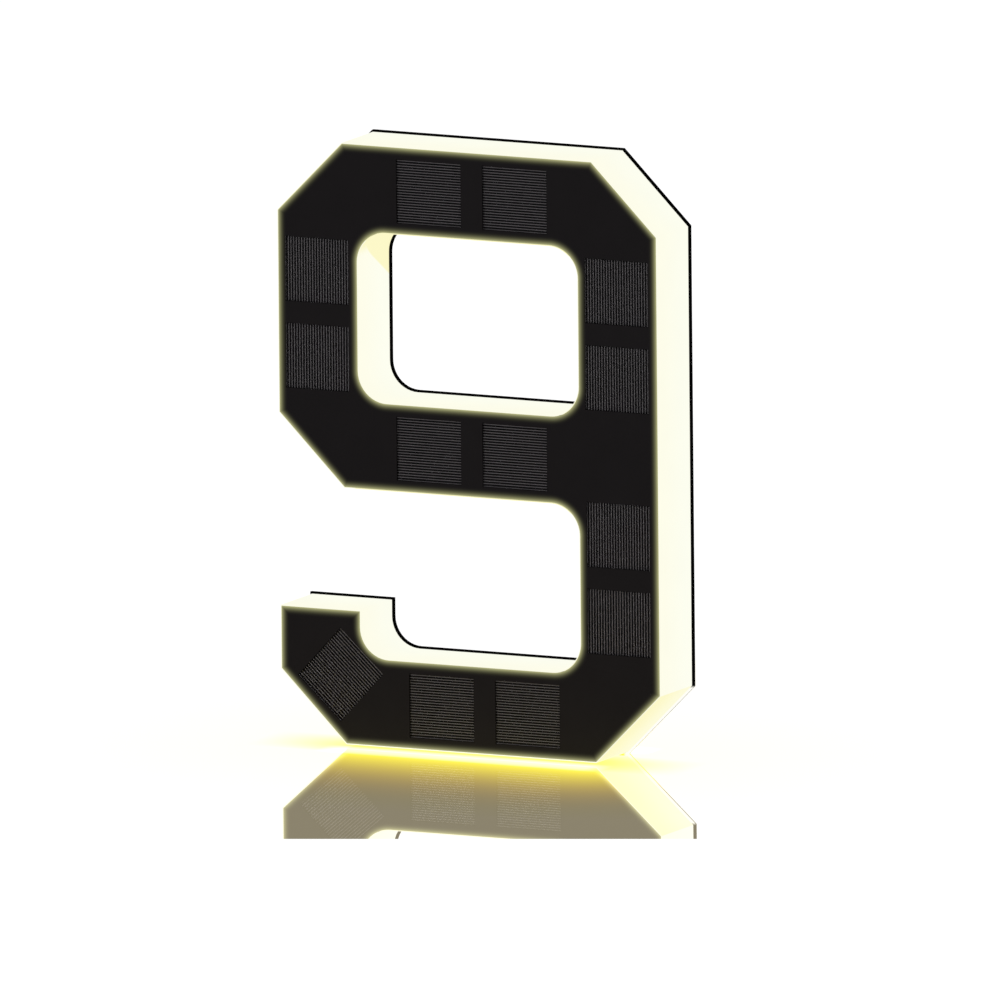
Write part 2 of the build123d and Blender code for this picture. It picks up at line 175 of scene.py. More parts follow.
class FingerSizes(bpy.types.PropertyGroup):
    """Fine printed lines of the solar cells."""

    count: bpy.props.IntProperty(name="Lines", description="Lines on one cell", default=24, min=2)
    height: length("Line height", "How far a line stands on its cell", 0.03)
    level_l: length("Level line", "Length of the lines that lie level", 13.87)
    level_w: length("Level width", "Width of the level lines", 0.17)
    level_pitch: length("Level pitch", "Between two level lines", 0.534)
    level_aside: length("Level aside", "From the cell's middle to the left", 0.29)
    level_drop: length("Level drop", "From the cell's middle down", 0.17)
    upright_l: length("Upright line", "Length of the lines that stand upright", 12.72)
    upright_w: length("Upright width", "Width of the upright lines", 0.19)
    upright_pitch: length("Upright pitch", "Between two upright lines", 0.5845)
    upright_aside: length("Upright aside", "From the cell's middle to the left", 0.39)
    upright_drop: length("Upright drop", "From the cell's middle down", 0.13)
    tail_l: length("Tail line", "Length of the lines of the cell in the tail", 12.5)
    tail_w: length("Tail width", "Width of the lines of the cell in the tail", 0.175)
    tail_pitch: length("Tail pitch", "Between two lines of the cell in the tail", 0.5795)
    tail_aside: length("Tail aside", "From the middle of the tail's cell to the left", 0.29)
    tail_drop: length("Tail drop", "From the middle of the tail's cell down", 0.02)
    tail_turn: angle("Tail turn", "Turn of the cell in the tail", 47.0)
    margin: length("Margin", "Clear cover round the lines of a cell", 0.08)
    pane_aside: length("Pane aside", "From the lines' middle to the right to the pane's", 0.15)
    pane_up: length("Pane up", "From the lines' middle up to the pane's", 0.07)

    def fields(self):
        """The lines of each cell: its name, the middle of its field, the directions along the lines
        and a quarter turn to the left of it, their length, their pitch and their width."""
        level, upright = np.array([1.0, 0.0]), np.array([0.0, 1.0])
        turned = np.array([np.cos(self.tail_turn), np.sin(self.tail_turn)])
        turned_up = np.array([-turned[1], turned[0]])
        levels = (level, upright, self.level_l, self.level_pitch, self.level_w)
        uprights = (upright, -level, self.upright_l, self.upright_pitch, self.upright_w)
        tails = (turned_up, -turned, self.tail_l, self.tail_pitch, self.tail_w)
        runs = [(cell, (-self.level_aside, -self.level_drop), levels) for cell in LEVEL_CELLS]
        upright_offset = (-self.upright_aside, -self.upright_drop)
        runs += [(cell, upright_offset, uprights) for cell in UPRIGHT_CELLS]
        runs.append((TAIL_CELL, (-self.tail_aside, -self.tail_drop), tails))
        found = []
        for cell, offset, lines in runs:
            low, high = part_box(f"solar_cell_{cell}")
            centre = np.array([low.x + high.x, low.z + high.z]) / 2 + offset
            found.append((cell, centre, *lines))
        return found


class SignColours(bpy.types.PropertyGroup):
    """Colours of the front, the glowing sides and the back plate."""

    glow_front: colour("Rim glow", "Light of the sides next to the panel", display(255, 254, 235))
    glow_back: colour("Rear glow", "Light of the sides next to the plate", display(254, 255, 241))
    # painted shade: the yellower glow of faces that look down and of the patch under the top of an
    # opening
    shaded_glow: colour("Glow below", "Light of the faces that look down", display(253, 249, 201))
    milky: colour("Milky plastic", "The light body's own colour", display(40, 39, 36))
    panel: colour("Panel", "Black of the front", display(23, 21, 22))
    cell: colour("Cell", "Silicon of the solar cells", display(7, 6, 8))
    finger: colour("Lines", "Printed metal lines of the cells", display(72, 69, 71))
    edge_glow: colour("Edge glow", "Light that spreads over the panel's edge", (0.44, 0.44, 0.21))
    cover: colour("Cover", "Faint grey of the clear cover", display(20, 20, 22))
    shell: colour("Back plate", "Black of the back plate", display(12, 12, 11))
    plate_wash: colour("Wash", "Light that washes over the plate's edge", display(255, 254, 246))


class PartColours(bpy.types.PropertyGroup):
    """Colours of the small parts at the back and inside."""

    button: colour("Button", "Rubber of the button", display(52, 52, 54))
    switch: colour("Switch", "Shell of the push switch", display(58, 58, 60))
    plunger: colour("Plunger", "Plunger of the push switch", display(190, 62, 44))
    steel: colour("Screws", "Steel of the screws", display(176, 176, 172))
    seal: colour("Seals", "Rubber of the seals", display(38, 38, 38))
    led_board: colour("LED board", "White mask of the LED board", display(228, 228, 222))
    led_case: colour("LED case", "White case of an LED", display(236, 234, 226))
    phosphor: colour("Phosphor", "Yellow window of an LED", display(232, 196, 74))
    led_light: colour("LED light", "Light of an LED's window", display(255, 238, 190))
    foil: colour("Battery", "Foil of the battery", display(188, 190, 194))
    foam: colour("Tape", "Foam tape under the battery", display(224, 222, 216))
    connector: colour("Connector", "Plastic of the battery's connector", display(226, 220, 198))
    red_wire: colour("Red leads", "Sleeve of the red leads", display(178, 30, 24))
    black_wire: colour("Black leads", "Sleeve of the black leads", display(34, 34, 34))
    chip: colour("Chips", "Plastic of the controller and the resistors", display(40, 40, 42))
    ferrite: colour("Inductor", "Ferrite of the inductor", display(84, 84, 88))
    can: colour("Capacitor", "Can of the capacitor", display(196, 198, 202))


class StageSizes(bpy.types.PropertyGroup):
    """Camera, floor and lamps of the studio round the sign."""

    view_w: length("View width", "Width that the camera sees", 195.3)
    view_turn: angle("View turn", "Camera's turn to the sign's right", 26.31)
    view_rise: angle("View rise", "Camera's height, as an angle over the floor", 9.76)
    view_roll: angle("View roll", "Camera's turn about its own axis", -0.5)
    aim_x: length("Aim across", "Middle of the view, to the right of the sign's middle", 6.702)
    aim_z: length("Aim height", "Middle of the view, above the floor", 51.132)
    camera_far: length("Camera distance", "Camera to the sign", 800.0)
    floor_half: length("Floor", "Half the side of the floor", 3000.0)
    mirror_half: length("Mirror", "Half the side of the polished area", 102.2)
    mirror_fade: length("Mirror fade", "Width over which the polish ends", 1.0)
    mirror_tilt: angle("Mirror tilt", "Slight turn of the polished area to the camera", 0.52)
    mirror: share("Polish", "How much the polished area mirrors", 0.87)
    ground: colour("Ground", "Dim warm light of the polished area", (0.25, 0.22, 0.147))
    foot_half: length("Foot", "Half the length of the lit foot", 27.0)
    pool_reach: length("Pool", "How far the foot's light reaches over the floor", 65.0)
    pool_red: number("Pool red", "Red of the foot's light", 1.3)
    pool_red_fall: number("Red fall", "Power with which the red falls off", 3.2)
    pool_green: number("Pool green", "Green of the foot's light", 1.27)
    pool_green_fall: number("Green fall", "Power with which the green falls off", 4.0)
    pool_blue: number("Pool blue", "Blue that the foot's light takes away", 0.07)
    streak_l: length("Streak", "How far the light under the cut corners reaches", 20.0)
    streak_w: length("Streak width", "Half the width of that light", 9.0)
    streak_y: length("Streak place", "Middle of that light, in front of the sign's middle", 5.0)
    streak_tint: colour("Streak tint", "What that light leaves of the mirror", (0.98, 0.96, 0.3))
    gleam_y: length("Gleam", "Pale line beside the foot, in front of the sign", 4.6)
    gleam_w: length("Gleam width", "Half the width of that line", 4.2)
    gleam_blue: number("Gleam blue", "Blue that makes the line pale", 0.55)
    floor_grey: share("Floor grey", "Grey of the plain floor", 0.25)
    floor_white: share("Floor white", "Light of the plain floor", 0.9)
    ambient: share("Ambient", "Light from all round", 0.5)
    key_power: power("Key", "Power of the main lamp", 1.1)
    fill_power: power("Fill", "Power of the side lamp", 0.6)
    rear_power: power("Rear", "Power of the rear lamp", 1.1)


# ---- Node trees written as sums ----------------------------------------------------


class Wire:
    """A node's output that sums are written on. Each operator adds its Math node."""

    def __init__(self, nodes, socket):
        self.nodes = nodes
        self.socket = socket

    def math(self, operation, *terms):
        """The Math node that every operator ends in."""
        return self.nodes.node("ShaderNodeMath", {"operation": operation}, dict(enumerate(terms)))

    def __add__(self, other):
        return self.math("ADD", self, other)

    def __radd__(self, other):
        return self.math("ADD", other, self)

    def __sub__(self, other):
        return self.math("SUBTRACT", self, other)

    def __rsub__(self, other):
        return self.math("SUBTRACT", other, self)

    def __mul__(self, other):
        return self.math("MULTIPLY", self, other)

    def __rmul__(self, other):
        return self.math("MULTIPLY", other, self)

    def __truediv__(self, other):
        return self.math("DIVIDE", self, other)

    def __rtruediv__(self, other):
        return self.math("DIVIDE", other, self)

    def __pow__(self, other):
        return self.math("POWER", self, other)

    def __abs__(self):
        return self.math("ABSOLUTE", self)

    def least(self, other):
        return self.math("MINIMUM", self, other)

    def most(self, other):
        return self.math("MAXIMUM", self, other)

    def rise(self, start, end):
        """0 at start, 1 at end, with a soft step between them."""
        inputs = {"Value": self, "From Min": start, "From Max": end}
        return self.nodes.node("ShaderNodeMapRange", {"interpolation_type": "SMOOTHSTEP"}, inputs)


class Nodes:
    """A node tree that is built one call a node."""

    def __init__(self, tree):
        self.tree = tree
        tree.nodes.clear()

    def node(self, kind, settings=None, inputs=None, output=0):
        """Adds a node: its settings first, then the values or links of its inputs."""
        made = self.tree.nodes.new(kind)
        for name, value in (settings or {}).items():
            setattr(made, name, value)
        for key, value in (inputs or {}).items():
            if isinstance(value, Wire):
                self.tree.links.new(value.socket, made.inputs[key])
            else:
                made.inputs[key].default_value = value
        return Wire(self, made.outputs[output]) if made.outputs else None

    def mix(self, factor, low, high):
        """A colour between low and high."""
        ends = [value if isinstance(value, Wire) else (*value, 1.0) for value in (low, high)]
        inputs = {0: factor, 6: ends[0], 7: ends[1]}
        return self.node("ShaderNodeMix", {"data_type": "RGBA"}, inputs, 2)

    def scaled(self, tint, amount):
        """A colour times a number that varies."""
        inputs = {0: tint if isinstance(tint, Wire) else tuple(tint), "Scale": amount}
        return self.node("ShaderNodeVectorMath", {"operation": "SCALE"}, inputs)

    def summed(self, first, second):
        """A plain colour and one that varies, added up."""
        inputs = {0: tuple(first), 1: second}
        return self.node("ShaderNodeVectorMath", {"operation": "ADD"}, inputs)

    def place(self):
        """The point on the piece, in its object's coordinates."""
        return self.node("ShaderNodeTexCoord", output="Object")

    def split(self, vector):
        """The three parts of a vector."""
        parts = self.node("ShaderNodeSeparateXYZ", inputs={0: vector})
        return [Wire(self, parts.socket.node.outputs[axis]) for axis in range(3)]

    def facing(self):
        """The three parts of the surface's normal."""
        return self.split(self.node("ShaderNodeNewGeometry", output="Normal"))

    def noise(self, size, detail=2.0, rough=0.5, stretch=(1.0, 1.0, 1.0)):
        """Noise whose blotches are about size wide, in metres, longer where stretch is small."""
        scale = tuple(part / size for part in stretch)
        spot = self.node("ShaderNodeMapping", inputs={"Vector": self.place(), "Scale": scale})
        inputs = {"Vector": spot, "Scale": 1.0, "Detail": detail, "Roughness": rough}
        return self.node("ShaderNodeTexNoise", inputs=inputs, output="Fac")

    def bump(self, height, distance, strength):
        """A normal tilted by a height from 0 to 1, distance being the height of 1 in metres."""
        inputs = {"Height": height, "Distance": distance, "Strength": strength}
        return self.node("ShaderNodeBump", inputs=inputs)


class Finish(Nodes):
    """A material with one Principled surface."""

    def __init__(self, name):
        self.material = bpy.data.materials.new(name)
        self.material.use_nodes = True
        super().__init__(self.material.node_tree)

    def surface(self, base, rough, **others):
        """Ends the tree. Plain numbers and colours are set on the shader's own sockets."""
        inputs = {"Base Color": base, "Roughness": rough}
        inputs.update({name.replace("_", " "): value for name, value in others.items()})
        for name, value in inputs.items():
            if not isinstance(value, (Wire, float, int)):
                inputs[name] = (*value, 1.0)
        shader = self.node("ShaderNodeBsdfPrincipled", inputs=inputs)
        self.node("ShaderNodeOutputMaterial", inputs={"Surface": shader})
        return self.material


def dress(material, *names):
    """Gives a material to CAD nodes and leaves their meshes alone."""
    for name in names:
        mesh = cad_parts[name].data
        mesh.materials.clear()
        mesh.materials.append(material)


def piece(name, vertices, faces, material, body):
    """A new flat-faced mesh whose place is in its vertices, which rides on a body."""
    mesh = bpy.data.meshes.new(name)
    mesh.from_pydata(vertices.tolist(), [], faces if isinstance(faces, list) else faces.tolist())
    mesh.polygons.foreach_set("use_smooth", [False] * len(mesh.polygons))
    mesh.materials.append(material)
    mesh.validate()
    made = bpy.data.objects.new(name, mesh)
    bpy.context.scene.collection.objects.link(made)
    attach(made, body)
    return made


def outward(made):
    """Turns a closed piece's faces outwards."""
    mesh = made.data
    loose = bmesh.new()
    loose.from_mesh(mesh)
    bmesh.ops.recalc_face_normals(loose, faces=loose.faces)
    loose.to_mesh(mesh)
    loose.free()


# ---- Shapes ------------------------------------------------------------------------


def rounded_gap(x, z, centre_x, centre_z, half_w, half_h, radius):
    """Distance from a box with round corners, positive outside: the length of how far the point
    is past the corner's centre on both axes, less the radius."""
    past_x = abs(x - centre_x) - (half_w - radius)
    past_z = abs(z - centre_z) - (half_h - radius)
    out_x = past_x.most(0.0)
    out_z = past_z.most(0.0)
    return (out_x * out_x + out_z * out_z) ** 0.5 + past_x.most(past_z).least(0.0) - radius


def openings(sizes):
    """Top and foot of the window and of the bay, going down from the panel's top by a stroke, the
    window and a stroke, and up from its foot by a stroke."""
    window_top = PANEL_HIGH.z - sizes.stroke
    window_low = window_top - sizes.counter_h
    return window_top, window_low, window_low - sizes.stroke, PANEL_LOW.z + sizes.stroke


def panel_depth(x, z, sizes):
    """How far a point of the panel is inside the figure's edge: the least of the distances to the
    sides and cut corners of the outer octagon, to the window, to the bay and to the bay's mouth."""
    half_w = PANEL_HIGH.x
    low, high = PANEL_LOW.z, PANEL_HIGH.z
    slant = 0.5**0.5
    window_top, window_low, bay_top, bay_low = openings(sizes)
    inner_w = half_w - sizes.stroke
    side = half_w - abs(x)
    top = high - z
    foot = z - low
    depth = side.least(top).least(foot)
    depth = depth.least((side + top - sizes.corner_cut) * slant)
    depth = depth.least((side + foot - sizes.corner_cut) * slant)
    window_z, window_half = (window_top + window_low) / 2, sizes.counter_h / 2
    bay_z, bay_half = (bay_top + bay_low) / 2, (bay_top - bay_low) / 2
    depth = depth.least(rounded_gap(x, z, 0.0, window_z, inner_w, window_half, sizes.inner_r))
    depth = depth.least(rounded_gap(x, z, 0.0, bay_z, inner_w, bay_half, sizes.inner_r))
    above = z - bay_top
    cut_above = (x + half_w + above - sizes.corner_cut) * slant
    mouth = above.least(cut_above).most(low + sizes.tail_h - z).most(x)
    return depth.least(mouth)


def arc(centre_x, centre_z, radius, start, end, count=17):
    """Points of a round corner: its centre plus the radius times each angle's cosine and sine."""
    angles = np.radians(np.linspace(start, end, count))
    across = centre_x + radius * np.cos(angles)
    up = centre_z + radius * np.sin(angles)
    return np.stack([across, up], axis=1)


def edge_loops(sizes):
    """The panel's outer edge with its bay, and its window, as two closed rows of points."""
    half_w = PANEL_HIGH.x
    low, high = PANEL_LOW.z, PANEL_HIGH.z
    cut, radius = sizes.corner_cut, sizes.inner_r
    window_top, window_low, bay_top, bay_low = openings(sizes)
    inner_w = half_w - sizes.stroke
    in_x = inner_w - radius
    corners = [
        (cut - half_w, low),
        (half_w - cut, low),
        (half_w, low + cut),
        (half_w, high - cut),
        (half_w - cut, high),
        (cut - half_w, high),
        (-half_w, high - cut),
        (-half_w, bay_top + cut),
        (cut - half_w, bay_top),
    ]
    bay = [
        arc(in_x, bay_top - radius, radius, 90, 0),
        arc(in_x, bay_low + radius, radius, 0, -90),
        arc(-in_x, bay_low + radius, radius, -90, -180),
    ]
    tail = [(-inner_w, low + sizes.tail_h), (-half_w, low + sizes.tail_h), (-half_w, low + cut)]
    window = [
        arc(in_x, window_top - radius, radius, 90, 0),
        arc(in_x, window_low + radius, radius, 0, -90),
        arc(-in_x, window_low + radius, radius, -90, -180),
        arc(-in_x, window_top - radius, radius, 180, 90),
    ]
    return np.concatenate([corners, *bay, tail]), np.concatenate(window)[::-1]


def ring(count, start):
    """The edges of a closed row of points: each point's number with the next one's, from start."""
    step = np.arange(count)
    return np.stack([step, (step + 1) % count], axis=1) + start


def stepped_sheet(outer, window, panes, front_y, back_y, pane_y):
    """A flat sheet with a window, and with panes that are thinner than the rest. Its flat shape is
    cut into triangles, each of which gives a face at the front and one at its own back depth. An
    edge between two depths, or at the sheet's own edge, gets a wall between them. Returns the
    vertices, the faces and whether each face belongs to a pane."""
    loops = [outer, window, *panes]
    starts = np.cumsum([0] + [len(loop) for loop in loops])
    points = [Vector(point) for point in np.concatenate(loops)]
    edges = np.concatenate([ring(len(loop), start) for loop, start in zip(loops, starts)])
    regions = [list(range(start, start + len(loop))) for loop, start in zip(loops, starts)]
    cut = delaunay_2d_cdt(points, edges.tolist(), regions, 0, 1e-7)
    spots = np.array([tuple(point) for point in cut[0]])
    inside = [set(region) for region in cut[5]]
    kept = [0 in region and 1 not in region for region in inside]
    triangles = np.array(cut[2])[kept]
    pane = np.array([max(region, default=0) > 1 for region in inside])[kept]
    sides = spots[triangles[:, [1, 2]]] - spots[triangles[:, [0]]]
    turned = sides[:, 0, 0] * sides[:, 1, 1] - sides[:, 0, 1] * sides[:, 1, 0] < 0
    triangles[turned] = triangles[turned][:, ::-1]
    count = len(spots)
    levels = np.repeat([front_y, back_y, pane_y], count)
    vertices = np.stack([np.tile(spots[:, 0], 3), levels, np.tile(spots[:, 1], 3)], axis=1)
    level = np.where(pane, 2, 1)
    walk = np.concatenate([triangles[:, [0, 1]], triangles[:, [1, 2]], triangles[:, [2, 0]]])
    walk_level = np.tile(level, 3)
    keys = walk[:, 0] * count + walk[:, 1]
    back_keys = walk[:, 1] * count + walk[:, 0]
    order = np.argsort(keys)
    spot = np.searchsorted(keys[order], back_keys).clip(0, len(keys) - 1)
    paired = keys[order][spot] == back_keys
    other = np.where(paired, walk_level[order][spot], 0)
    steps = (walk_level == 1) & (other != 1)
    near, far = walk[steps, 0], walk[steps, 1]
    rise = other[steps] * count
    walls = np.stack([near + rise, near + count, far + count, far + rise], axis=1)
    back = triangles[:, ::-1] + (level * count)[:, None]
    faces = [*triangles.tolist(), *back.tolist(), *walls.tolist()]
    return vertices, faces, np.concatenate([pane, pane, np.zeros(len(walls), bool)])


def bars(centre, along, across, count, bar_l, pitch, width, low_y, high_y):
    """Straight bars side by side, as vertices and quads. A bar's corner is its centre plus or minus
    half its length along one direction and half its width across it, at two depths; bar i's centre
    is the middle of the field plus (i - (count - 1) / 2) pitches across."""
    steps = (np.arange(count) - (count - 1) / 2) * pitch
    ends = np.array([(-1, -1), (1, -1), (1, 1), (-1, 1)]) / 2
    flat = centre + steps[:, None, None] * across
    flat = flat + ends[:, :1] * bar_l * along + ends[:, 1:] * width * across
    deep = np.stack([flat, flat], axis=1)
    depths = np.broadcast_to(np.array([low_y, high_y])[None, :, None], deep.shape[:3])
    corners = np.stack([deep[..., 0], depths, deep[..., 1]], axis=-1).reshape(-1, 3)
    sides = [(0, 4, 5, 1), (1, 5, 6, 2), (2, 6, 7, 3), (3, 7, 4, 0)]
    box = np.array([(0, 1, 2, 3), (7, 6, 5, 4), *sides])
    quads = (np.arange(count)[:, None, None] * 8 + box).reshape(-1, 4)
    return corners, quads


def joined(parts):
    """Several (vertices, faces) pairs as one: each pair's faces count on from the last vertex."""
    starts = np.cumsum([0] + [len(vertices) for vertices, _ in parts[:-1]])
    vertices = np.concatenate([vertices for vertices, _ in parts])
    return vertices, np.concatenate([faces + start for (_, faces), start in zip(parts, starts)])


# ---- Finishes ----------------------------------------------------------------------


def ceiling_shade(x, depth, z, sizes):
    """1 on the painted shade under the top of the window and of the bay, a warmer patch above a
    slanting edge that starts below the top by ceiling_drop at the front and falls with the depth.
    It ends in the body, a little past the sides and the top of the opening."""
    side = PANEL_HIGH.x - sizes.stroke
    inside = 1.0 - abs(x).rise(side + 0.5 * MM, side + 1.0 * MM)
    slope = z + (sizes.ceiling_drop + (depth - BODY_LOW.y) * sizes.ceiling_fall)
    window_top, _, bay_top, _ = openings(sizes)
    patches = []
    for top in (window_top, bay_top):
        over = 1.0 - z.rise(top + 1.0 * MM, top + 1.5 * MM)
        patches.append(slope.rise(top - sizes.ceiling_soft, top + sizes.ceiling_soft) * over)
    return inside * (patches[0] + patches[1])


def milky_finish(sizes, colours):
    """Milky plastic that is lit from inside: warmer next to the panel, and with painted shade
    warmer still under the top of an opening and on faces that look down, there less so towards the
    back."""
    finish = Finish("milky_body")
    x, depth, z = finish.split(finish.place())
    _, _, upward = finish.facing()
    back = depth.rise(BODY_LOW.y, BODY_HIGH.y)
    # painted shade: faces that look down get the yellower glow, less so towards the back
    below = (0.0 - upward).rise(0.15, 0.6) * (1.0 - back * 0.45)
    # painted shade: the patch under a ceiling joins that of the faces that look down
    warm = below.most(ceiling_shade(x, depth, z, sizes))
    cloud = finish.noise(size=9.0 * MM, detail=1.0)
    glow = finish.mix(back, colours.glow_front, colours.glow_back)
    glow = finish.mix(warm, glow, colours.shaded_glow)
    glow = finish.scaled(glow, 0.955 + cloud * 0.03)
    rough = 0.34 + finish.noise(size=0.6 * MM, detail=3.0) * 0.1
    grain = finish.noise(size=0.25 * MM, detail=3.0)
    return finish.surface(
        colours.milky,
        rough,
        Emission_Color=glow,
        Emission_Strength=1.0,
        Specular_IOR_Level=0.0,
        Normal=finish.bump(grain, distance=0.004 * MM, strength=0.5),
    )


def print_finish(sizes, colours):
    """Black print on the cover. It catches the light of the body along its edge, which falls off
    with the fourth power of the nearness."""
    finish = Finish("cover_print")
    x, _, z = finish.split(finish.place())
    near = (1.0 - panel_depth(x, z, sizes) / sizes.glow_reach).most(0.0).least(1.0)
    uneven = 0.9 + finish.noise(size=7.0 * MM, detail=1.0) * 0.2
    smear = finish.noise(size=6.0 * MM, detail=3.0, rough=0.6)
    return finish.surface(
        finish.scaled(colours.panel, 0.9 + smear * 0.2),
        0.3 + smear * 0.12,
        Emission_Color=finish.scaled(colours.edge_glow, near**4.0 * uneven),
        Emission_Strength=1.0,
        Specular_IOR_Level=0.02,
    )


def pane_finish(colours):
    """Clear plastic, which lets nearly all light through."""
    finish = Finish("clear_cover")
    smear = finish.noise(size=6.0 * MM, detail=3.0, rough=0.6)
    haze = 0.02 + smear * 0.02
    return finish.surface(colours.cover, 0.2 + smear * 0.1, Alpha=haze, Specular_IOR_Level=0.2)


def board_finish(name, base, grain, **others):
    """Solder mask: an even colour with faint blotches and a fine grain of a depth in metres."""
    finish = Finish(name)
    blotch = finish.noise(size=5.0 * MM, detail=3.0)
    rough = 0.38 + finish.noise(size=0.8 * MM) * 0.14
    normal = finish.bump(finish.noise(size=0.18 * MM), distance=grain, strength=0.6)
    return finish.surface(finish.scaled(base, 0.88 + blotch * 0.24), rough, Normal=normal, **others)


def cell_finish(colours):
    """Dark silicon: crystals with slightly different greys, 0.8 to 1.2 times the cell's."""
    finish = Finish("solar_cell")
    crystal = 1.6 * MM
    inputs = {"Vector": finish.place(), "Scale": 1 / crystal}
    flakes = finish.node("ShaderNodeTexVoronoi", {"feature": "F1"}, inputs, "Color")
    grey, _, _ = finish.split(flakes)
    dark, pale = (tuple(amount * part for part in colours.cell) for amount in (0.8, 1.2))
    base = finish.mix(grey, dark, pale)
    return finish.surface(base, 0.25 + grey * 0.1, Specular_IOR_Level=0.03)


def finger_finish(colours):
    """Printed silver paste, a little uneven along the line."""
    finish = Finish("cell_lines")
    uneven = finish.noise(size=2.0 * MM)
    base = finish.scaled(colours.finger, 0.94 + uneven * 0.12)
    return finish.surface(base, 0.45 + uneven * 0.15, Specular_IOR_Level=0.2)


def moulded_finish(name, base, size, depth, rough, **others):
    """Moulded plastic: fine pebbles of a size and depth in millimetres, a slightly uneven gloss and
    paler worn spots."""
    finish = Finish(name)
    patch = finish.noise(size=11.0 * MM, detail=3.0, rough=0.6)
    shade = finish.scaled(base, 0.9 + patch * 0.2)
    gloss = rough - 0.06 + patch * 0.12
    pebble = finish.bump(finish.noise(size=size * MM), distance=depth * MM, strength=0.7)
    return finish.surface(shade, gloss, Normal=pebble, **others)


def plate_finish(sizes, colours):
    """Black moulded plastic, darker on the edge with painted shade. The light of the body's two
    lower slanting sides washes over the front half of the edge beside them: past the foot's ends,
    below the top of the slant and on its outer side."""
    finish = Finish("black_shell")
    x, depth, z = finish.split(finish.place())
    _, rearward, _ = finish.facing()
    # painted shade: faces that do not look back keep 0.35 of the black and no coat, the back gets
    # the rest
    rear = rearward.rise(0.3, 0.9)
    foot_end = PANEL_HIGH.x - sizes.corner_cut
    slant_top = PANEL_LOW.z + sizes.corner_cut
    wash = abs(x).rise(foot_end - 1.0 * MM, foot_end - 0.2 * MM)
    wash = wash * (1.0 - z.rise(slant_top - 0.7 * MM, slant_top))
    wash = wash * (1.0 - depth.rise(BODY_HIGH.y + 0.3 * MM, BODY_HIGH.y + 0.55 * MM))
    wash = wash * (abs(x) - z).rise(foot_end - 1.8 * MM, foot_end - 0.8 * MM)
    patch = finish.noise(size=11.0 * MM, detail=3.0, rough=0.6)
    pebble = finish.noise(size=0.22 * MM)
    return finish.surface(
        finish.scaled(colours.shell, 0.35 + rear * (0.55 + patch * 0.2)),
        0.5 + patch * 0.12,
        Coat_Weight=rear * 0.3,
        Coat_Roughness=0.45,
        Emission_Color=finish.scaled(colours.plate_wash, wash),
        Emission_Strength=1.0,
        Specular_IOR_Level=0.0,
        Normal=finish.bump(pebble, distance=0.02 * MM, strength=0.7),
    )


def metal_finish(name, base, rough=0.3, stretch=(1.0, 1.0, 1.0)):
    """Plated or drawn metal: fine brushing and cloudy plating."""
    finish = Finish(name)
    brush = finish.noise(size=0.12 * MM, detail=3.0, rough=0.6, stretch=stretch)
    cloud = finish.noise(size=1.4 * MM, detail=3.0)
    shade = finish.scaled(base, 0.86 + cloud * 0.2)
    gloss = rough - 0.05 + brush * 0.14
    brushed = finish.bump(brush, distance=0.003 * MM, strength=0.5)
    return finish.surface(shade, gloss, Metallic=1.0, Normal=brushed)


def led_finish(parts):
    """White case with a yellow phosphor window, told apart by how far it stands from the board."""
    finish = Finish("led")
    _, depth, _ = finish.split(finish.place())
    window = 1.0 - depth.rise(LED_BOARD_Y - 0.76 * MM, LED_BOARD_Y - 0.71 * MM)
    speck = finish.noise(size=0.15 * MM)
    base = finish.mix(window, parts.led_case, parts.phosphor)
    glow = finish.scaled(parts.led_light, window * (0.85 + speck * 0.15))
    return finish.surface(base, 0.3 + speck * 0.1, Emission_Color=glow, Emission_Strength=1.0)


# ---- Operators ---------------------------------------------------------------------


class SignOperator(bpy.types.Operator):
    """Shared settings of the sign's operators"""

    bl_options = {"REGISTER", "UNDO"}


class SIGN_OT_light_body(SignOperator):
    """Makes the milky body glow"""

    bl_idname = "sign.light_body"
    bl_label = "Light body"

    def execute(self, context):
        dress(milky_finish(context.scene.sign_figure, context.scene.sign_colours), "light_body")
        return {"FINISHED"}


class SIGN_OT_front_panel(SignOperator):
    """Dresses the clear cover and the black solar board under it"""

    bl_idname = "sign.front_panel"
    bl_label = "Front panel"

    def pane(self, lines, centre, along, across, bar_l, pitch, width):
        """The four corners of a field of lines with its margin: its middle plus or minus half the
        field's length along the lines and half its width across them. The pane stands in front of
        the lines, so it is a little aside, where the view from the right meets them."""
        half_l = bar_l / 2 + lines.margin
        half_w = ((lines.count - 1) * pitch + width) / 2 + lines.margin
        corners = np.array([(-1, -1), (1, -1), (1, 1), (-1, 1)])
        centre = centre + (lines.pane_aside, lines.pane_up)
        return centre + corners[:, :1] * half_l * along + corners[:, 1:] * half_w * across

    def execute(self, context):
        colours = context.scene.sign_colours
        sizes = context.scene.sign_figure
        lines = context.scene.sign_fingers
        outer, window = edge_loops(sizes)
        panes = [self.pane(lines, *field) for _, *field in lines.fields()]
        back_y = PANEL_LOW.y - sizes.cover_gap
        pane_y = PANEL_FRONT_Y + sizes.pane_depth
        depths = PANEL_FRONT_Y, back_y, pane_y
        vertices, faces, clear = stepped_sheet(outer, window, panes, *depths)
        ink = print_finish(sizes, colours)
        made = piece("printed_cover", vertices, faces, ink, "housing")
        made.data.materials.append(pane_finish(colours))
        made.data.polygons.foreach_set("material_index", clear.astype(np.int32))
        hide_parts("front_cover")
        mask = board_finish("solar_board", colours.panel, 0.004 * MM, Specular_IOR_Level=0.05)
        dress(mask, "solar_board")
        return {"FINISHED"}


